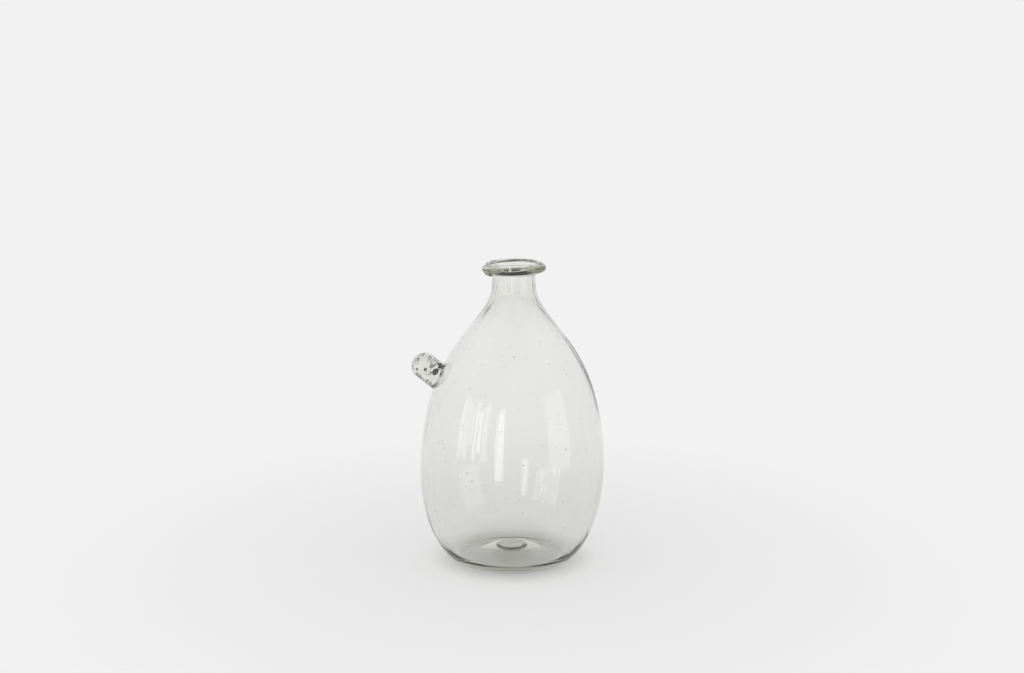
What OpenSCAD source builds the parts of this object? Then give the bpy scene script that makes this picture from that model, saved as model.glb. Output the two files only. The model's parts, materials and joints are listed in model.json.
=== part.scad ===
// Mouth-blown glass wasp trap: a pear-shaped bottle with a pushed-up base,
// a wound glass ring under its mouth, a round knob on its shoulder and
// the scar of the pontil under its base.
// Millimetres. The origin is the middle of the circle the bottle stands on.
// +Z goes up through the mouth, and -X goes out through the shoulder knob.

/* [Bottle] */
// Height of the mouth's rim above the table
height = 220; // [215:1:230]
// Greatest outside radius of the belly
belly_r = 67; // [64:0.5:70]
// Height of the widest part of the belly
belly_z = 66.8; // [60:0.2:72]
// Inner radius of the ring that the bottle stands on
rest_in_r = 32.5; // [30:0.5:34]
// Outer radius of the ring that the bottle stands on
rest_out_r = 39.3; // [37:0.1:42]
// Outside radius of the neck
neck_r = 15.4; // [15:0.1:17]
// Inside radius of the neck
bore_r = 12.1; // [11.5:0.1:12.6]
// Thickness of the belly wall
belly_wall = 2.2; // [1.8:0.1:2.6]

/* [Base] */
// Height of the pushed-up underside at its middle
kick_z = 6.4; // [5:0.1:8]
// Thickness of the glass over the middle of the push-up
kick_wall = 4; // [3:0.1:6]
// Thickness of the glass in the trough round the push-up
floor_wall = 2.2; // [2:0.1:3]

/* [Lip and ring] */
// Outside radius of the flared lip
lip_r = 20.2; // [19:0.1:21]
// Thickness of the rounded lip
lip_wall = 3; // [2.4:0.1:3.2]
// Radius of the glass trail wound round the neck
ring_tube_r = 2.95; // [2.5:0.05:3]
// Distance from the neck's axis to the middle of the trail
ring_r = 20; // [19.5:0.1:20.5]
// Distance from the rim down to the middle of the trail
ring_drop = 4.2; // [4:0.1:5]
// Angle over which the trail's end laps over its start
tail_angle = 26; // [10:1:60]

/* [Shoulder knob] */
// Radius of the knob
knob_r = 9.6; // [8:0.1:11]
// Length of the knob from the shoulder to its tip
knob_len = 20.9; // [18:0.1:26]
// Height at which the knob's axis meets the shoulder
knob_z = 137; // [132:0.2:140]
// Angle of the knob's axis above the horizontal
knob_tilt = 38.6; // [30:0.2:45]

/* [Pontil mark] */
// Distance from the middle of the scar to its corners
pontil_r = 9.9; // [8:0.1:10.2]
// Thickness of the scar
pontil_t = 1.1; // [0.6:0.1:2]

/* [Hidden] */
$fn = 96;
neck_bottom_z = height - 13.5;
neck_top_z = height - 9;
bore_bottom_z = height - 17;
bore_top_z = height - 8;
lip_z = height - lip_wall / 2;
inner_lip_r = lip_r - lip_wall;
inner_belly_r = belly_r - belly_wall;
kick_flat_r = 10.5;
ring_z = height - ring_drop;
tail_tube_r = 2.1;
tail_drop = 1.6;
tail_out = 0.9;
knob_wall_r = 54.5;
knob_root = 9;
knob_straight = knob_len - knob_r;
steps = 16;

// Point at t, from 0 to 1, on the cubic curve with end points a and d.
function on_curve(a, b, c, d, t) =
    a * pow(1 - t, 3) + 3 * b * t * pow(1 - t, 2)
    + 3 * c * pow(t, 2) * (1 - t) + d * pow(t, 3);

// Points along that curve, without its first one.
function curve(a, b, c, d, n = steps) =
    [for (i = [1 : n]) on_curve(a, b, c, d, i / n)];

// Outside of the glass, from the resting ring up to the lip.
outer_line = concat(
    [[rest_out_r, 0]],
    curve([rest_out_r, 0], [47.8, 0], [belly_r, 22.8], [belly_r, belly_z]),
    curve([belly_r, belly_z], [belly_r, 165.1], [neck_r, 173.4],
          [neck_r, neck_bottom_z], 2 * steps),
    [[neck_r, neck_top_z]],
    curve([neck_r, neck_top_z], [neck_r, height - 5.5],
          [lip_r, height - 5.5], [lip_r, lip_z], steps / 2));

// The fire-rounded lip, from its outside over the rim to its inside.
rim_line = [for (a = [15 : 15 : 165])
    [lip_r - lip_wall / 2 + lip_wall / 2 * cos(a),
     lip_z + lip_wall / 2 * sin(a)]];

// Inside of the glass, from the lip down to the middle of the floor.
inner_line = concat(
    [[inner_lip_r, lip_z]],
    curve([inner_lip_r, lip_z], [inner_lip_r, height - 5],
          [bore_r, height - 5], [bore_r, bore_top_z], steps / 2),
    [[bore_r, bore_bottom_z]],
    curve([bore_r, bore_bottom_z], [bore_r, 176.5], [inner_belly_r, 167],
          [inner_belly_r, belly_z], 2 * steps),
    curve([inner_belly_r, belly_z], [inner_belly_r, 26], [50, floor_wall],
          [34, floor_wall]),
    curve([34, floor_wall], [24, floor_wall], [17, kick_z + kick_wall],
          [9, kick_z + kick_wall], steps / 2),
    [[0, kick_z + kick_wall]]);

// Underside of the push-up, from its middle out to the resting ring.
under_line = concat(
    [[0, kick_z], [kick_flat_r, kick_z]],
    curve([kick_flat_r, kick_z], [17, kick_z - 1], [25, 0],
          [rest_in_r, 0], steps / 2));

// The bottle as if it were solid glass, to cut what is fused to its outside.
module filled_bottle()
    rotate_extrude()
        polygon(concat([[0, 0]], outer_line, rim_line, [[0, height]]));

module bottle()
    color([0.80, 0.83, 0.79, 0.5])
        rotate_extrude()
            polygon(concat(under_line, outer_line, rim_line, inner_line));

module lip_ring()
    color([0.68, 0.71, 0.67, 0.7])
        difference() {
            union() {
                rotate_extrude()
                    translate([ring_r, ring_z]) circle(ring_tube_r, $fn = 32);
                rotate([0, 0, 200])
                    rotate_extrude(angle = tail_angle)
                        translate([ring_r + tail_out, ring_z - tail_drop])
                            circle(tail_tube_r, $fn = 32);
            }
            filled_bottle();
        }

// Half outline of the knob: a straight side, then a round nose.
knob_line = concat(
    [[0, -knob_root], [knob_r, -knob_root]],
    [for (a = [0 : 5 : 85])
        [knob_r * cos(a), knob_straight + knob_r * sin(a)]],
    [[0, knob_len]]);

// The knob without its shallow dimples, which leave its outline as it is.
module shoulder_knob()
    color([0.72, 0.74, 0.70, 0.7])
        difference() {
            translate([-knob_wall_r, 0, knob_z])
                rotate([0, knob_tilt - 90, 0])
                    rotate_extrude() polygon(knob_line);
            filled_bottle();
        }

module pontil_mark()
    color([0.62, 0.64, 0.55, 0.8])
        translate([0, 0, kick_z - pontil_t])
            cylinder(pontil_t, r = pontil_r, $fn = 6);

bottle();
lip_ring();
shoulder_knob();
pontil_mark();
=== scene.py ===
import json
import math
import random

import bpy
import numpy as np
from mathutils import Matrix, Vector, noise


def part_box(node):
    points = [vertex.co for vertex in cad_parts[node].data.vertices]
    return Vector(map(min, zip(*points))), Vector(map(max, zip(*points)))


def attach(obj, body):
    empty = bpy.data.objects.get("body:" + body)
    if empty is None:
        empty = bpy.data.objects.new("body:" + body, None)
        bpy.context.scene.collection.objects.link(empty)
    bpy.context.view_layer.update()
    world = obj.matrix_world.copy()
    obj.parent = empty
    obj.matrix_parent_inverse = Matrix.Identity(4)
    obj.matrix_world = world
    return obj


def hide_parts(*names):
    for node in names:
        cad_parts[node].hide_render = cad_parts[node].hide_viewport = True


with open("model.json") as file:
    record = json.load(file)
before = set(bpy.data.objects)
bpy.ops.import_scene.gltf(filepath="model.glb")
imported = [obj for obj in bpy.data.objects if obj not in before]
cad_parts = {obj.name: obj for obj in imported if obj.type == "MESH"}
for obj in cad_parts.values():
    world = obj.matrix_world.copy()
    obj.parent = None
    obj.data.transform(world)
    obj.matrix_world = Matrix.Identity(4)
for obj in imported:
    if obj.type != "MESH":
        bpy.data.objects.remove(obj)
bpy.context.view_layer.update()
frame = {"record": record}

# ---------------------------------------------------------------- dimensions
# Lengths are in metres, and come from the frame where the frame holds them.
MM = 0.001
BOTTLE_HIGH = np.array(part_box("bottle")[1])
PONTIL_LOW, PONTIL_HIGH = (np.array(c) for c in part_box("pontil_mark"))
MOUNTS = {m["name"]: m for m in frame["record"]["mounts"]}

HEIGHT = BOTTLE_HIGH[2]
BELLY_R = BOTTLE_HIGH[0]
BORE_R = MOUNTS["mouth_bore"]["dims"]["r_mm"] * MM

BELLY_Z = 66.8 * MM
REST_IN_R = 32.5 * MM
REST_OUT_R = 39.3 * MM
NECK_R = 15.4 * MM
BELLY_WALL = 2.2 * MM
FLOOR_WALL = 2.2 * MM
KICK_Z = PONTIL_HIGH[2]
KICK_WALL = 4.0 * MM
LIP_R = 20.2 * MM
LIP_WALL = 3.0 * MM
LIP_Z = HEIGHT - LIP_WALL / 2

RING_TUBE_R = 2.95 * MM
RING_R = 20.0 * MM
RING_Z = HEIGHT - 4.2 * MM

KNOB_R = 9.6 * MM
KNOB_LEN = 20.9 * MM
KNOB_BASE = np.array([-54.5, 0.0, 137.0]) * MM
KNOB_TILT = math.radians(38.6)
STRAIGHT = KNOB_LEN - KNOB_R  # where the knob's side ends and its round nose starts
DIMPLE_REACH = 2.3 * MM
DIMPLE_DEPTH = 1.65 * MM

FLAT_R = 10.5 * MM            # flat middle of the push-up's underside
SCAR_ROOT = 0.6 * MM          # how much of the scar is melted into the bottle's underside
JOINT_Z = HEIGHT - 8.6 * MM   # the fused collar starts here, under the wound trail
GAP = 0.06 * MM               # hairline between two gathers, so that no two surfaces coincide
AROUND = 240                  # divisions round the bottle, the collar and the knob


# ------------------------------------------------------------------ outlines
def curve(a, b, c, d, n):
    """n points along a cubic curve, without its first one."""
    t = np.linspace(0, 1, n + 1)[1:, None]
    a, b, c, d = (np.array(p, dtype=float) for p in (a, b, c, d))
    return a * (1 - t) ** 3 + 3 * b * t * (1 - t) ** 2 + 3 * c * t ** 2 * (1 - t) + d * t ** 3


def line(a, b, n):
    """n points along a straight line, without its first one."""
    t = np.linspace(0, 1, n + 1)[1:, None]
    return np.array(a) * (1 - t) + np.array(b) * t


def outer_outline():
    """Outside of the glass from the resting ring up to the lip, as (radius, height)."""
    neck_bottom, neck_top = HEIGHT - 13.5 * MM, HEIGHT - 9 * MM
    flare = HEIGHT - 5.5 * MM
    return np.vstack([
        [[REST_OUT_R, 0]],
        curve((REST_OUT_R, 0), (47.8 * MM, 0), (BELLY_R, 22.8 * MM), (BELLY_R, BELLY_Z), 44),
        curve((BELLY_R, BELLY_Z), (BELLY_R, 165.1 * MM), (NECK_R, 173.4 * MM),
              (NECK_R, neck_bottom), 100),
        line((NECK_R, neck_bottom), (NECK_R, neck_top), 6),
        curve((NECK_R, neck_top), (NECK_R, flare), (LIP_R, flare), (LIP_R, LIP_Z), 18),
    ])


def rim_outline():
    """The fire-rounded lip, over the rim from outside to inside."""
    turn = np.linspace(0, math.pi, 21)[1:-1]
    half = LIP_WALL / 2
    return np.stack([LIP_R - half + half * np.cos(turn), LIP_Z + half * np.sin(turn)], axis=1)


def inner_outline():
    """Inside of the glass from the lip down to the middle of the floor."""
    bore_top, bore_bottom = HEIGHT - 8 * MM, HEIGHT - 17 * MM
    inner_lip, inner_belly = LIP_R - LIP_WALL, BELLY_R - BELLY_WALL
    flare, top = HEIGHT - 5 * MM, KICK_Z + KICK_WALL
    return np.vstack([
        [[inner_lip, LIP_Z]],
        curve((inner_lip, LIP_Z), (inner_lip, flare), (BORE_R, flare), (BORE_R, bore_top), 18),
        line((BORE_R, bore_top), (BORE_R, bore_bottom), 10),
        curve((BORE_R, bore_bottom), (BORE_R, 176.5 * MM), (inner_belly, 167 * MM),
              (inner_belly, BELLY_Z), 100),
        curve((inner_belly, BELLY_Z), (inner_belly, 26 * MM), (50 * MM, FLOOR_WALL),
              (34 * MM, FLOOR_WALL), 44),
        curve((34 * MM, FLOOR_WALL), (24 * MM, FLOOR_WALL), (17 * MM, top), (9 * MM, top), 24),
        line((9 * MM, top), (0, top), 6),
    ])


def under_outline():
    """Underside of the push-up from its middle out to the resting ring."""
    return np.vstack([
        line((0, KICK_Z), (FLAT_R, KICK_Z), 6),
        curve((FLAT_R, KICK_Z), (17 * MM, KICK_Z - 1 * MM), (25 * MM, 0), (REST_IN_R, 0), 24),
        line((REST_IN_R, 0), (REST_OUT_R, 0), 4)[:-1],
    ])


OUTER = outer_outline()
INNER = inner_outline()


# ------------------------------------------------------- the hand-blown form
def smooth_step(low, high, x):
    """0 below low, 1 above high and a smooth rise between them."""
    t = np.clip((x - low) / (high - low), 0, 1)
    return t * t * (3 - 2 * t)


def ring_noise(theta, z, around, along, seed):
    """Smooth noise that closes on itself round the axis."""
    theta, z = np.broadcast_arrays(theta, z)
    values = [noise.noise((around * math.cos(a), around * math.sin(a), h / along + seed))
              for a, h in zip(theta.ravel(), z.ravel())]
    return np.array(values).reshape(theta.shape)


def out_of_round(theta, z):
    """How far the blown form strays from a true round, the same for both faces of the wall."""
    body = smooth_step(2 * MM, 40 * MM, z) * (1 - 0.7 * smooth_step(170 * MM, 200 * MM, z))
    oval = 0.30 * np.cos(2 * theta + 0.7) + 0.14 * np.cos(3 * theta + 2.1)
    return (body * oval + 0.20 * body * ring_noise(theta, z, 1.6, 75 * MM, 3.0)) * MM


def outer_ripple(theta, z):
    """Ripples that only the outside of the wall has."""
    body = smooth_step(1 * MM, 20 * MM, z)
    return body * (0.075 * ring_noise(theta, z, 5.0, 85 * MM, 11.0)
                   + 0.045 * ring_noise(theta, z, 14.0, 30 * MM, 21.0)) * MM


def inner_ripple(theta, z):
    """Ripples that only the inside of the wall has, so that its thickness varies."""
    body = smooth_step(4 * MM, 20 * MM, z)
    return body * (0.22 * ring_noise(theta, z, 2.2, 60 * MM, 31.0)
                   + 0.080 * ring_noise(theta, z, 6.0, 70 * MM, 41.0)
                   + 0.026 * ring_noise(theta, z, 15.0, 90 * MM, 51.0)) * MM


def side_shift(z):
    """How far the bottle's axis has moved towards +X at a height."""
    return (-0.4 + 1.8 * smooth_step(10 * MM, 200 * MM, z)) * MM


def lean(points):
    """The neck stands a little to one side of the base, and the mouth is not quite level."""
    x, y, z = points[..., 0], points[..., 1], points[..., 2]
    tip = smooth_step(200 * MM, 218 * MM, z) * 0.012 * x
    return np.stack([x + side_shift(z), y, z + tip], axis=-1)


def inner_radius(z):
    """Radius of the inner outline at a height above the floor."""
    upwards = INNER[np.argsort(INNER[:, 1])]
    return np.interp(z, upwards[:, 1], upwards[:, 0])


def outer_radius(theta, z):
    """Radius of the bottle's outside before it leans."""
    return np.interp(z, OUTER[:, 1], OUTER[:, 0]) + out_of_round(theta, z) + outer_ripple(theta, z)


def place(radius, theta, z):
    """Points at a radius, an angle and a height."""
    return np.stack([radius * np.cos(theta), radius * np.sin(theta), z], axis=-1)


def place_rows(radius, theta, z):
    """Rings of points, from a grid of radii and one angle for each column."""
    return place(radius, np.broadcast_to(theta, radius.shape), np.broadcast_to(z, radius.shape))


# -------------------------------------------------------------- mesh helpers
def make_mesh(name, vertices, faces):
    mesh = bpy.data.meshes.new(name)
    mesh.from_pydata([tuple(v) for v in vertices], [], faces)
    mesh.validate()
    mesh.shade_smooth()
    obj = bpy.data.objects.new(name, mesh)
    bpy.context.scene.collection.objects.link(obj)
    return obj


def rows_to_faces(rows, columns, first, wrap_rows=False):
    """Quads between the rows of a grid whose columns close on themselves."""
    faces = []
    for i in range(rows if wrap_rows else rows - 1):
        a, b = first + i * columns, first + (i + 1) % rows * columns
        for j in range(columns):
            k = (j + 1) % columns
            faces.append((a + j, a + k, b + k, b + j))
    return faces


def poled_grid(grid, start_pole, end_pole, first=0):
    """Vertices and faces of a closed form: a grid of rings with a point at each end."""
    rows, columns = grid.shape[:2]
    vertices = np.vstack([grid.reshape(-1, 3), [start_pole], [end_pole]])
    faces = rows_to_faces(rows, columns, first)
    low, high = first + rows * columns, first + rows * columns + 1
    last = first + (rows - 1) * columns
    for j in range(columns):
        k = (j + 1) % columns
        faces.append((low, first + k, first + j))
        faces.append((high, last + j, last + k))
    return vertices, faces


# --------------------------------------------------------------------- glass
TINT = (0.40, 0.425, 0.27)
DENSITY = 44
KNOB_DENSITY = 20
PONTIL_TINT = (0.50, 0.52, 0.38)
PONTIL_DENSITY = 160


def glass(name, tint, density, seed, bump, haze):
    """Clear glass with a faint body tint, a rippled fire polish and traces of dust and handling."""
    material = bpy.data.materials.new(name)
    material.use_nodes = True
    nodes, links = material.node_tree.nodes, material.node_tree.links
    nodes.clear()
    out = nodes.new("ShaderNodeOutputMaterial")
    shader = nodes.new("ShaderNodeBsdfPrincipled")
    shader.inputs["Base Color"].default_value = (1, 1, 1, 1)
    shader.inputs["Roughness"].default_value = 0.0
    shader.inputs["IOR"].default_value = 1.5
    shader.inputs["Transmission Weight"].default_value = 1.0
    body = nodes.new("ShaderNodeVolumeAbsorption")
    body.inputs["Color"].default_value = (*tint, 1)
    body.inputs["Density"].default_value = density
    links.new(shader.outputs["BSDF"], out.inputs["Surface"])
    links.new(body.outputs["Volume"], out.inputs["Volume"])

    place_node = nodes.new("ShaderNodeTexCoord")
    stretch = nodes.new("ShaderNodeMapping")
    stretch.inputs["Location"].default_value = (seed, 0, 0)
    stretch.inputs["Scale"].default_value = (1, 1, 0.35)
    links.new(place_node.outputs["Object"], stretch.inputs["Vector"])

    ripple = nodes.new("ShaderNodeTexNoise")
    ripple.inputs["Scale"].default_value = 130
    ripple.inputs["Detail"].default_value = 3
    ripple.inputs["Roughness"].default_value = 0.45
    links.new(stretch.outputs["Vector"], ripple.inputs["Vector"])
    relief = nodes.new("ShaderNodeBump")
    relief.inputs["Strength"].default_value = 1.0
    relief.inputs["Distance"].default_value = bump
    links.new(ripple.outputs["Fac"], relief.inputs["Height"])
    links.new(relief.outputs["Normal"], shader.inputs["Normal"])

    smear = nodes.new("ShaderNodeTexNoise")
    smear.inputs["Scale"].default_value = 38
    smear.inputs["Detail"].default_value = 6
    smear.inputs["Distortion"].default_value = 0.6
    links.new(stretch.outputs["Vector"], smear.inputs["Vector"])
    spread = nodes.new("ShaderNodeMapRange")
    spread.inputs["From Min"].default_value = 0.52
    spread.inputs["From Max"].default_value = 0.80
    spread.inputs["To Min"].default_value = 0.0
    spread.inputs["To Max"].default_value = haze
    links.new(smear.outputs["Fac"], spread.inputs["Value"])
    links.new(spread.outputs["Result"], shader.inputs["Roughness"])
    return material


def finish_piece(obj, node, material):
    """Give a piece its material, attach it to the root body and hide the CAD node that it replaces."""
    obj.data.materials.append(material)
    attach(obj, "root")
    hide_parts(node)


# -------------------------------------------------------------------- bottle
SEEDS = 700


def round_void(centre, radius, stretch, first, rings=5, columns=8):
    """A round void in the glass: its faces look inwards, away from the glass."""
    polar = np.linspace(0, math.pi, rings + 2)[1:-1]
    turn = np.linspace(0, 2 * math.pi, columns, endpoint=False)
    grid = np.stack([np.outer(np.sin(polar), np.cos(turn)), np.outer(np.sin(polar), np.sin(turn)),
                     np.outer(np.cos(polar), np.ones(columns)) * stretch], axis=-1) * radius + centre
    pole = np.array([0, 0, radius * stretch])
    return poled_grid(grid, centre + pole, centre - pole, first)


def wall_grid(outside, inside, theta):
    """Rings of points up the outside of the glass and down its inside."""
    z_out, z_in = outside[:, 1:], inside[:, 1:]
    shape_out = outside[:, :1] + out_of_round(theta, z_out) + outer_ripple(theta, z_out)
    shape_in = inside[:, :1] + out_of_round(theta, z_in) + inner_ripple(theta, z_in)
    return place_rows(shape_out, theta, z_out), place_rows(shape_in, theta, z_in)


def true_rows(outline, theta):
    """Rings of points on an outline that is truly round."""
    return place_rows(np.broadcast_to(outline[:, :1], (len(outline), AROUND)), theta, outline[:, 1:])


def under_rows(theta):
    """The underside: the root of the scar, its edge, and the slope down to the resting ring."""
    under = under_outline()
    slope = under[under[:, 0] > FLAT_R + GAP]
    hexagon = hexagon_radius(theta)
    low, high = np.array([[KICK_Z - SCAR_ROOT]]), np.array([[KICK_Z]])
    return np.vstack([
        place_rows(hexagon * np.linspace(0.12, 1, 9)[:, None], theta, low),
        place_rows(hexagon * 1.01, theta, (low + high) / 2),
        place_rows(hexagon * 1.02, theta, high),
        true_rows(slope, theta)])


def bottle_grid():
    """The bottle's whole surface, from the middle of its underside to the middle of its floor."""
    theta = np.linspace(0, 2 * math.pi, AROUND, endpoint=False)[None, :]
    outside, inside = below(OUTER, JOINT_Z - GAP), below(INNER, JOINT_Z - GAP)[:-1]
    out_rows, in_rows = wall_grid(outside, inside, theta)
    pushed_up = (inside[:, 0] < 20 * MM) & (inside[:, 1] < 30 * MM)
    in_rows[pushed_up] = true_rows(inside[pushed_up], theta)
    return lean(np.vstack([under_rows(theta), out_rows, in_rows]))


def hexagon_radius(theta):
    """Distance to the edge of the pontil scar's six sides."""
    corner = (PONTIL_HIGH[0] - PONTIL_LOW[0]) / 2
    return corner * math.cos(math.pi / 6) / np.cos(np.mod(theta, math.pi / 3) - math.pi / 6)


def below(outline, top):
    """The part of an outline under a height, with its cut end exactly at it."""
    kept = outline[outline[:, 1] < top]
    up = outline[np.argsort(outline[:, 1])]
    cut = [[np.interp(top, up[:, 1], up[:, 0]), top]]
    rising = outline[0, 1] < outline[-1, 1]
    return np.vstack([kept, cut]) if rising else np.vstack([cut, kept])


def random_seed(pick, first):
    """One seed bubble somewhere in the middle of the wall."""
    z = (14 + 186 * pick.random() ** 0.9) * MM
    theta = 2 * math.pi * pick.random()
    outside = np.interp(z, OUTER[:, 1], OUTER[:, 0])
    radius = outside + (inner_radius(z) - outside) * pick.uniform(0.40, 0.60)
    radius += float(out_of_round(np.array(theta), np.array(z)))
    centre = lean(place(np.array(radius), np.array(theta), np.array(z)))
    size = (0.13 + 0.30 * pick.random() ** 3) * MM
    return round_void(centre, size, pick.uniform(1.0, 1.5), first)


def build_bottle():
    """The blown shell up to the collar, with the seed bubbles in its wall."""
    middles = lean(np.array([[0.0, 0.0, KICK_Z - SCAR_ROOT], [0.0, 0.0, KICK_Z + KICK_WALL]]))
    vertices, faces = poled_grid(bottle_grid(), *middles)
    pile, count = [vertices], len(vertices)
    pick = random.Random(11)
    for _ in range(SEEDS):
        bubble, sides = random_seed(pick, count)
        pile.append(bubble)
        faces += sides
        count += len(bubble)
    obj = make_mesh("blown_bottle", np.vstack(pile), faces)
    material = glass("blown_glass", TINT, DENSITY, 0.0, 0.00002, 0.05)
    finish_piece(obj, "bottle", material)


# ------------------------------------------------------------------ lip ring
def ring_centre(theta):
    """Middle of the trail's section at an angle round the neck: radius and height."""
    return (RING_R + 0.15 * MM * np.cos(2 * theta + 1.0),
            RING_Z + 0.45 * MM * np.cos(theta) - 0.2 * MM)


def ring_section(theta, phi):
    """Reach of the trail's surface from the middle of its section, with the lapped end."""
    tube = RING_TUBE_R * (1 + 0.03 * np.cos(theta + 0.6) + 0.025 * np.cos(2 * theta + 2.0))
    lap = smooth_step(3.30, 3.62, theta) * (1 - smooth_step(3.80, 3.98, theta))
    lap_out, lap_down = 0.9 * MM, 1.6 * MM
    distance = math.hypot(lap_out, lap_down)
    toward = phi - math.atan2(-lap_down, lap_out)
    inside = (2.1 * MM * lap) ** 2 - (distance * np.sin(toward)) ** 2
    second = np.where(inside > 0, distance * np.cos(toward) + np.sqrt(np.maximum(inside, 0)), 0)
    blend = 0.25 * MM
    return tube + blend * np.log1p(np.exp((second - tube) / blend))


def trail_rows(theta, count):
    """Points over the trail from its lower to its upper crease against the wall, for each angle."""
    phi = np.linspace(-0.98 * math.pi, 0.98 * math.pi, 400)
    centre_r, centre_z = ring_centre(theta)
    rows = np.empty((count, len(theta), 2))
    for j, turn in enumerate(theta):
        rho = ring_section(np.full(phi.shape, turn), phi)
        radius, z = centre_r[j] + rho * np.cos(phi), centre_z[j] + rho * np.sin(phi)
        proud = radius > outer_radius(np.full(phi.shape, turn), np.minimum(z, LIP_Z))
        first = np.flatnonzero(proud & (z < centre_z[j]))[0]
        last = np.flatnonzero(proud)[-1]
        pick = np.linspace(first, last, count)
        rows[:, j, 0] = np.interp(pick, np.arange(len(phi)), radius)
        rows[:, j, 1] = np.interp(pick, np.arange(len(phi)), z)
    return rows


def build_lip_ring():
    """The mouth's collar: the wound trail, whose end laps over its start, melted into neck and lip."""
    theta = np.linspace(0, 2 * math.pi, AROUND, endpoint=False)
    trail = trail_rows(theta, 60)
    lower, upper = trail[0, :, 1], trail[-1, :, 1]
    share = np.linspace(0, 1, 13)[:, None]
    neck_z = JOINT_Z + (lower - JOINT_Z) * share[:-1]
    lip_z = upper + (LIP_Z - upper) * share[1:]
    neck = outer_radius(np.broadcast_to(theta, neck_z.shape), neck_z)
    lip = outer_radius(np.broadcast_to(theta, lip_z.shape), lip_z)
    rim = rim_outline()
    inside = INNER[INNER[:, 1] > JOINT_Z]
    rim_rows, in_rows = wall_grid(rim, inside, theta[None, :])
    foot_z = np.full((1, AROUND), JOINT_Z)
    foot = inner_radius(JOINT_Z) + out_of_round(theta, foot_z) + inner_ripple(theta, foot_z)
    grid = lean(np.vstack([
        place_rows(neck, theta, neck_z), place_rows(trail[..., 0], theta, trail[..., 1]),
        place_rows(lip, theta, lip_z), rim_rows, in_rows, place_rows(foot, theta, foot_z)]))
    faces = rows_to_faces(len(grid), AROUND, 0, wrap_rows=True)
    obj = make_mesh("wound_lip_ring", grid.reshape(-1, 3), faces)
    material = glass("trail_glass", TINT, DENSITY, 2.0, 0.000004, 0.03)
    finish_piece(obj, "lip_ring", material)


# ------------------------------------------------------------- shoulder knob
KNOB_AXIS = np.array([-math.cos(KNOB_TILT), 0, math.sin(KNOB_TILT)])
KNOB_SIDE = np.array([0.0, 1.0, 0.0])
KNOB_UP = np.cross(KNOB_SIDE, KNOB_AXIS)


def on_knob(along, radius, turn):
    """A point at a distance along the knob's axis and from it."""
    return (KNOB_BASE + along[..., None] * KNOB_AXIS
            + (radius * np.cos(turn))[..., None] * KNOB_SIDE
            + (radius * np.sin(turn))[..., None] * KNOB_UP)


def depth_in_bottle(points):
    """Positive inside the bottle's outside surface."""
    y, z = points[..., 1], points[..., 2]
    x = points[..., 0] - side_shift(z)
    return outer_radius(np.arctan2(y, x), z) + GAP - np.hypot(x, y)


def foot_on_wall(radius, turn):
    """Distance along the axis at which a line parallel to it meets the bottle."""
    low = np.full(np.shape(turn), -14 * MM)
    high = np.full(np.shape(turn), 14 * MM)
    for _ in range(24):
        middle = (low + high) / 2
        within = depth_in_bottle(on_knob(middle, radius, turn)) > 0
        low = np.where(within, middle, low)
        high = np.where(within, high, middle)
    return high


def dimple_centres():
    """Middles of the pressed dimples on the knob's skin, in rings from the nose down."""
    # For each ring: how many, their angle up the nose, their distance down the side, their first turn.
    rings = [(6, 46, 0, 0), (4, 4, 0, 45), (6, 0, 4.6 * MM, 0), (4, 0, 9.2 * MM, 45)]
    pick = random.Random(5)
    centres = []
    for count, angle, down, offset in rings:
        for i in range(count):
            turn = math.radians(offset + 360 * i / count + pick.uniform(-4, 4))
            rise = math.radians(angle + pick.uniform(-3, 3))
            along = STRAIGHT - down + KNOB_R * math.sin(rise) + pick.uniform(-0.3, 0.3) * MM
            radius = KNOB_R * math.cos(rise)
            centres.append(on_knob(np.array(along), np.array(radius), np.array(turn)))
    return centres


def knob_skin(turn, nose_rows, side_rows):
    """The knob's dimpled surface, from its tip down to the bottle's wall."""
    columns = turn.shape[1]
    rise = np.linspace(math.pi / 2, 0, nose_rows + 1)[1:, None]
    foot = foot_on_wall(np.full((1, columns), KNOB_R), turn)
    share = np.linspace(0, 1, side_rows + 1)[1:, None]
    along = np.vstack([np.broadcast_to(STRAIGHT + KNOB_R * np.sin(rise), (nose_rows, columns)),
                       STRAIGHT + (foot - STRAIGHT) * share])
    radius = np.vstack([np.broadcast_to(KNOB_R * np.cos(rise), (nose_rows, columns)),
                        np.full((side_rows, columns), KNOB_R)])
    turns = np.broadcast_to(turn, along.shape)
    skin = on_knob(along, radius, turns)
    away = skin - on_knob(np.minimum(along, STRAIGHT), np.zeros_like(along), turns)
    away /= np.linalg.norm(away, axis=-1, keepdims=True)
    dent = np.zeros(along.shape)
    for centre in dimple_centres():
        distance = np.linalg.norm(skin - centre, axis=-1) / DIMPLE_REACH
        dent = np.maximum(dent, np.clip(1 - distance ** 2, 0, 1))
    return skin - away * (dent * DIMPLE_DEPTH)[..., None]


def knob_foot(turn, rows):
    """The knob's face against the bottle's wall, from its edge almost to its middle."""
    radius = np.linspace(1, 0, rows + 1)[:-1, None] * KNOB_R
    radius = np.broadcast_to(radius, (rows, turn.shape[1]))
    turns = np.broadcast_to(turn, radius.shape)
    return on_knob(foot_on_wall(radius, turns), radius, turns)


# Dark balls in the knob, painted shade for the dark look of its bubbles, in millimetres: along its
# axis, above it, radius, in front of it.
SHADE_BALLS = ((3.0, 1.5, 2.1, 3.0), (2.9, 5.9, 2.0, 1.0), (17.1, 1.3, 0.8, 2.0),
          (11.8, 4.8, 1.0, -1.0), (13.8, -3.8, 0.7, 3.0), (9.7, -1.2, 0.9, 0.5))


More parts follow.
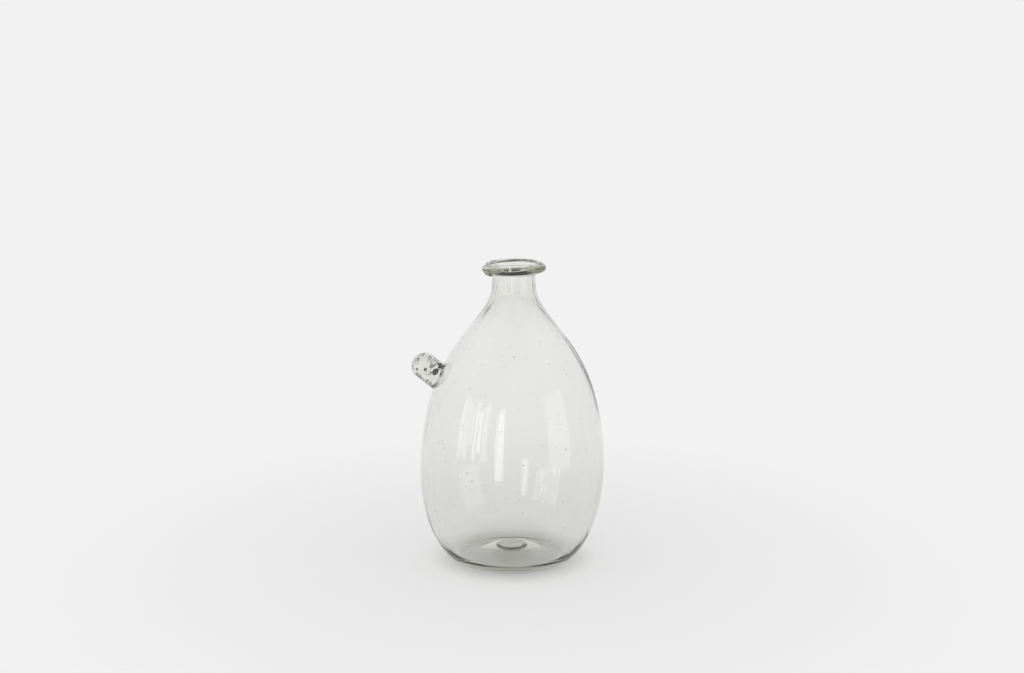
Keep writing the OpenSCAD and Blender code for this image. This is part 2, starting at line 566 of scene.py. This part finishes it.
def painted_shade_ball():
    """The dark skin of the balls in the knob: painted shade for the dark look of its bubbles."""
    material = bpy.data.materials.new("painted_shade_ball")
    material.use_nodes = True
    shader = material.node_tree.nodes["Principled BSDF"]
    # Painted shade: a near-black opaque skin for the balls that stand in for the knob's dark-looking
    # bubbles.
    shader.inputs["Base Color"].default_value = (0.06, 0.06, 0.06, 1)
    shader.inputs["Roughness"].default_value = 0.45
    return material


def build_knob():
    """The round knob on the shoulder, with its dimples and the dark balls of painted shade inside it.
    """
    turn = np.linspace(0, 2 * math.pi, AROUND, endpoint=False)[None, :]
    grid = np.vstack([knob_skin(turn, 64, 76)[:-1], knob_foot(turn, 15)])
    middle = on_knob(foot_on_wall(np.zeros(1), np.zeros(1)), np.zeros(1), np.zeros(1))[0]
    vertices, faces = poled_grid(grid, KNOB_BASE + KNOB_AXIS * KNOB_LEN, middle)
    pile, count, clear_faces = [vertices], len(vertices), len(faces)
    # Dark opaque balls inside the knob: painted shade.
    for along, above, radius, before in SHADE_BALLS:
        centre = KNOB_BASE + (KNOB_AXIS * along + KNOB_UP * above - KNOB_SIDE * before) * MM
        shade_ball, sides = round_void(centre, radius * MM, 1.0, count, 20, 32)
        pile.append(shade_ball)
        faces += sides
        count += len(shade_ball)
    obj = make_mesh("dimpled_knob", np.vstack(pile), faces)
    material = glass("knob_glass", TINT, KNOB_DENSITY, 4.0, 0.000004, 0.02)
    finish_piece(obj, "shoulder_knob", material)
    # The balls inside the knob get the near-black skin of painted shade.
    obj.data.materials.append(painted_shade_ball())
    for polygon in obj.data.polygons[clear_faces:]:
        polygon.material_index = 1


# --------------------------------------------------------------- pontil mark
def build_pontil():
    """A thin six-sided scar of other glass with a chipped, uneven underside."""
    columns = 72
    turn = np.linspace(0, 2 * math.pi, columns, endpoint=False)
    hexagon = hexagon_radius(turn)
    top = PONTIL_HIGH[2] - SCAR_ROOT - GAP
    thickness = top - PONTIL_LOW[2]
    rows = []
    for share in np.linspace(0.04, 1, 18):
        rows.append(place(hexagon * share, turn, np.full(columns, top)))
    for drop in (0.3, 0.6):
        rows.append(place(hexagon * (1 + 0.012 * drop), turn, np.full(columns, top - thickness * drop)))
    for share in np.linspace(0.97, 0.04, 18):
        reach = share * 9
        chips = np.array([noise.noise((reach * math.cos(a), reach * math.sin(a), 5.0)) for a in turn])
        hollow = 0.35 * (1 - share)
        rows.append(place(hexagon * share, turn, top - thickness * (0.85 - hollow + 0.22 * chips)))
    grid = lean(np.array(rows))
    upper = lean(np.array([0.0, 0.0, top]))
    lower = grid[-1].mean(axis=0)
    vertices, faces = poled_grid(grid[::-1], lower, upper)
    obj = make_mesh("pontil_scar", vertices, faces)
    material = glass("pontil_glass", PONTIL_TINT, PONTIL_DENSITY, 6.0, 0.00012, 0.12)
    finish_piece(obj, "pontil_mark", material)


# --------------------------------------------------------------------- stage
BACKDROP = (0.885, 0.885, 0.888)
# Painted shadow: the floor's darker colour under and around the bottle.
PAINTED_SHADOW = (0.535, 0.54, 0.54)
FLOOR = (0.80, 0.80, 0.80)
LIT_STUDIO = (0.93, 0.93, 0.935)
CEILING = (1.8, 1.8, 1.8)
DIM_CEILING = (0.05, 0.05, 0.052)


def smooth_range(nodes, low, high):
    """A node that rises smoothly from 0 to 1 between two values."""
    node = nodes.new("ShaderNodeMapRange")
    node.interpolation_type = "SMOOTHSTEP"
    node.inputs["From Min"].default_value = low
    node.inputs["From Max"].default_value = high
    return node


def colour_mix(nodes, first, second):
    node = nodes.new("ShaderNodeMix")
    node.data_type = "RGBA"
    node.inputs["A"].default_value = (*first, 1)
    node.inputs["B"].default_value = (*second, 1)
    return node


def floor_material():
    """Pale, with a painted shadow where the bottle stands, and as bright as the backdrop further out.
    """
    material = bpy.data.materials.new("floor")
    material.use_nodes = True
    nodes, links = material.node_tree.nodes, material.node_tree.links
    shader = nodes["Principled BSDF"]
    shader.inputs["Roughness"].default_value = 0.9
    shader.inputs["Specular IOR Level"].default_value = 0.0
    where = nodes.new("ShaderNodeNewGeometry")
    distance = nodes.new("ShaderNodeVectorMath")
    distance.operation = "LENGTH"
    # Painted shadow: the floor colour darkens within a few centimetres of the bottle's axis.
    painted_shadow_mask = smooth_range(nodes, 0.030, 0.066)
    tone = colour_mix(nodes, PAINTED_SHADOW, FLOOR)
    glow = nodes.new("ShaderNodeEmission")
    glow.inputs["Color"].default_value = (*BACKDROP, 1)
    fade = smooth_range(nodes, 0.12, 0.40)
    mix = nodes.new("ShaderNodeMixShader")
    links.new(where.outputs["Position"], distance.inputs[0])
    links.new(distance.outputs["Value"], painted_shadow_mask.inputs["Value"])
    links.new(painted_shadow_mask.outputs["Result"], tone.inputs["Factor"])
    links.new(tone.outputs["Result"], shader.inputs["Base Color"])
    links.new(distance.outputs["Value"], fade.inputs["Value"])
    links.new(fade.outputs["Result"], mix.inputs["Fac"])
    links.new(shader.outputs["BSDF"], mix.inputs[1])
    links.new(glow.outputs["Emission"], mix.inputs[2])
    links.new(mix.outputs["Shader"], nodes["Material Output"].inputs["Surface"])
    return material


def build_floor():
    """A round floor, a hair under the resting ring, that fades into the backdrop with distance."""
    rings, columns, far, drop = 24, 96, 0.42, -0.3 * MM
    turn = np.linspace(0, 2 * math.pi, columns, endpoint=False)
    vertices = [(0.0, 0.0, drop)]
    for radius in far * np.linspace(0.04, 1, rings):
        vertices += [(radius * math.cos(a), radius * math.sin(a), drop) for a in turn]
    faces = [tuple(reversed(face)) for face in rows_to_faces(rings, columns, 1)]
    faces += [(0, 1 + j, 1 + (j + 1) % columns) for j in range(columns)]
    floor = make_mesh("floor", vertices, faces)
    floor.data.materials.append(floor_material())


def build_world():
    """A pale studio all round. The glass mirrors a brighter ceiling, and bends in a dim one."""
    world = bpy.data.worlds.new("studio")
    bpy.context.scene.world = world
    world.use_nodes = True
    nodes, links = world.node_tree.nodes, world.node_tree.links
    nodes.clear()
    out = nodes.new("ShaderNodeOutputWorld")
    rays = nodes.new("ShaderNodeLightPath")
    where = nodes.new("ShaderNodeTexCoord")
    split = nodes.new("ShaderNodeSeparateXYZ")
    links.new(where.outputs["Generated"], split.inputs["Vector"])

    def compute(operation, first, second):
        node = nodes.new("ShaderNodeMath")
        node.operation = operation
        for socket, value in zip(node.inputs, (first, second)):
            if isinstance(value, float):
                socket.default_value = value
            else:
                links.new(value, socket)
        return node.outputs["Value"]

    def above(low, high):
        step = smooth_range(nodes, low, high)
        links.new(split.outputs["Z"], step.inputs["Value"])
        return step.outputs["Result"]

    def background(colour):
        node = nodes.new("ShaderNodeBackground")
        node.inputs["Color"].default_value = (*colour, 1)
        return node.outputs["Background"]

    def choose(factor, first, second):
        node = nodes.new("ShaderNodeMixShader")
        links.new(factor, node.inputs["Fac"])
        links.new(first, node.inputs[1])
        links.new(second, node.inputs[2])
        return node.outputs["Shader"]

    depth = rays.outputs["Transmission Depth"]
    mirrored = compute("LESS_THAN", depth, 0.5)
    bent = compute("GREATER_THAN", depth, 1.5)
    bent_once = compute("MULTIPLY", bent, compute("LESS_THAN", depth, 2.5))
    dim = compute("MAXIMUM", compute("MULTIPLY", above(0.26, 0.52), bent_once),
                  compute("MULTIPLY", above(0.70, 0.86), bent))
    ceiling = colour_mix(nodes, BACKDROP, CEILING)
    links.new(compute("MULTIPLY", above(0.30, 0.60), mirrored), ceiling.inputs["Factor"])
    shade = colour_mix(nodes, BACKDROP, DIM_CEILING)
    links.new(ceiling.outputs["Result"], shade.inputs["A"])
    links.new(dim, shade.inputs["Factor"])
    in_glass = nodes.new("ShaderNodeBackground")
    links.new(shade.outputs["Result"], in_glass.inputs["Color"])
    seen = choose(rays.outputs["Is Camera Ray"], in_glass.outputs["Background"], background(BACKDROP))
    scattered = compute("GREATER_THAN", rays.outputs["Diffuse Depth"], 0.5)
    links.new(choose(scattered, seen, background(LIT_STUDIO)), out.inputs["Surface"])


def window(name, azimuths, elevations, distance, radiance, tint=0.02):
    """A bright pane, warm or (below zero) cool, that spans these degrees as seen from the bottle.

    Azimuth runs from -Y towards +X. The camera does not see the pane itself.
    """
    azimuth, elevation = (math.radians(sum(pair) / 2) for pair in (azimuths, elevations))
    width, height = (2 * distance * math.tan(math.radians((pair[1] - pair[0]) / 2))
                     for pair in (azimuths, elevations))
    data = bpy.data.lights.new(name, "AREA")
    data.shape = "RECTANGLE"
    data.size, data.size_y = width, height
    data.energy = radiance * math.pi * width * height
    data.color = (1 + min(tint, 0), 1 - abs(tint) / 2, 1 - max(tint, 0))
    obj = bpy.data.objects.new(name, data)
    bpy.context.scene.collection.objects.link(obj)
    toward = Vector((math.sin(azimuth) * math.cos(elevation), -math.cos(azimuth) * math.cos(elevation),
                     math.sin(elevation)))
    obj.location = Vector((0, 0, HEIGHT / 2)) + distance * toward
    obj.rotation_euler = (-toward).to_track_quat("-Z", "Y").to_euler()
    obj.visible_camera = False


def build_windows():
    """A tall window, a wide one whose panes differ, and a faint one on the other side."""
    window("tall_window", (-22, -12), (-13, 19), 2.4, 2.1)
    pick = random.Random(3)
    left = -72
    for i in range(7):
        width = pick.uniform(2.5, 6.5)
        top, bottom = 22 - pick.uniform(0, 5), -6 + pick.uniform(0, 9) * (i % 2)
        window(f"wide_window_{i}", (left, left + width), (bottom, top), 2.6, pick.uniform(0.7, 2.2),
               pick.uniform(-0.25, 0.25))
        left += width + pick.uniform(0.3, 2.0)
    window("far_window", (44, 74), (-12, 24), 2.6, 0.72)


def build_camera():
    """A view from about a metre in front of the bottle, looking down a little."""
    away, up, downward = 1.011, 0.3567, 10.7
    data = bpy.data.cameras.new("camera")
    data.sensor_width = 36
    data.lens = 50
    data.clip_end = 100
    camera = bpy.data.objects.new("camera", data)
    camera.location = (0, -away, up)
    camera.rotation_euler = (math.radians(90 - downward), 0, 0)
    bpy.context.scene.collection.objects.link(camera)
    bpy.context.scene.camera = camera


def render_quality():
    """Enough bounces for light to pass through all the walls of the glass."""
    scene = bpy.context.scene
    scene.view_settings.view_transform = "Standard"
    scene.cycles.use_denoising = True
    scene.cycles.max_bounces = 32
    scene.cycles.transmission_bounces = 32
    scene.cycles.glossy_bounces = 16
    scene.cycles.diffuse_bounces = 3
    scene.cycles.blur_glossy = 0.0
    scene.cycles.sample_clamp_indirect = 4.0


build_camera()
build_world()
build_floor()
build_bottle()
build_lip_ring()
build_knob()
build_pontil()
build_windows()
render_quality()
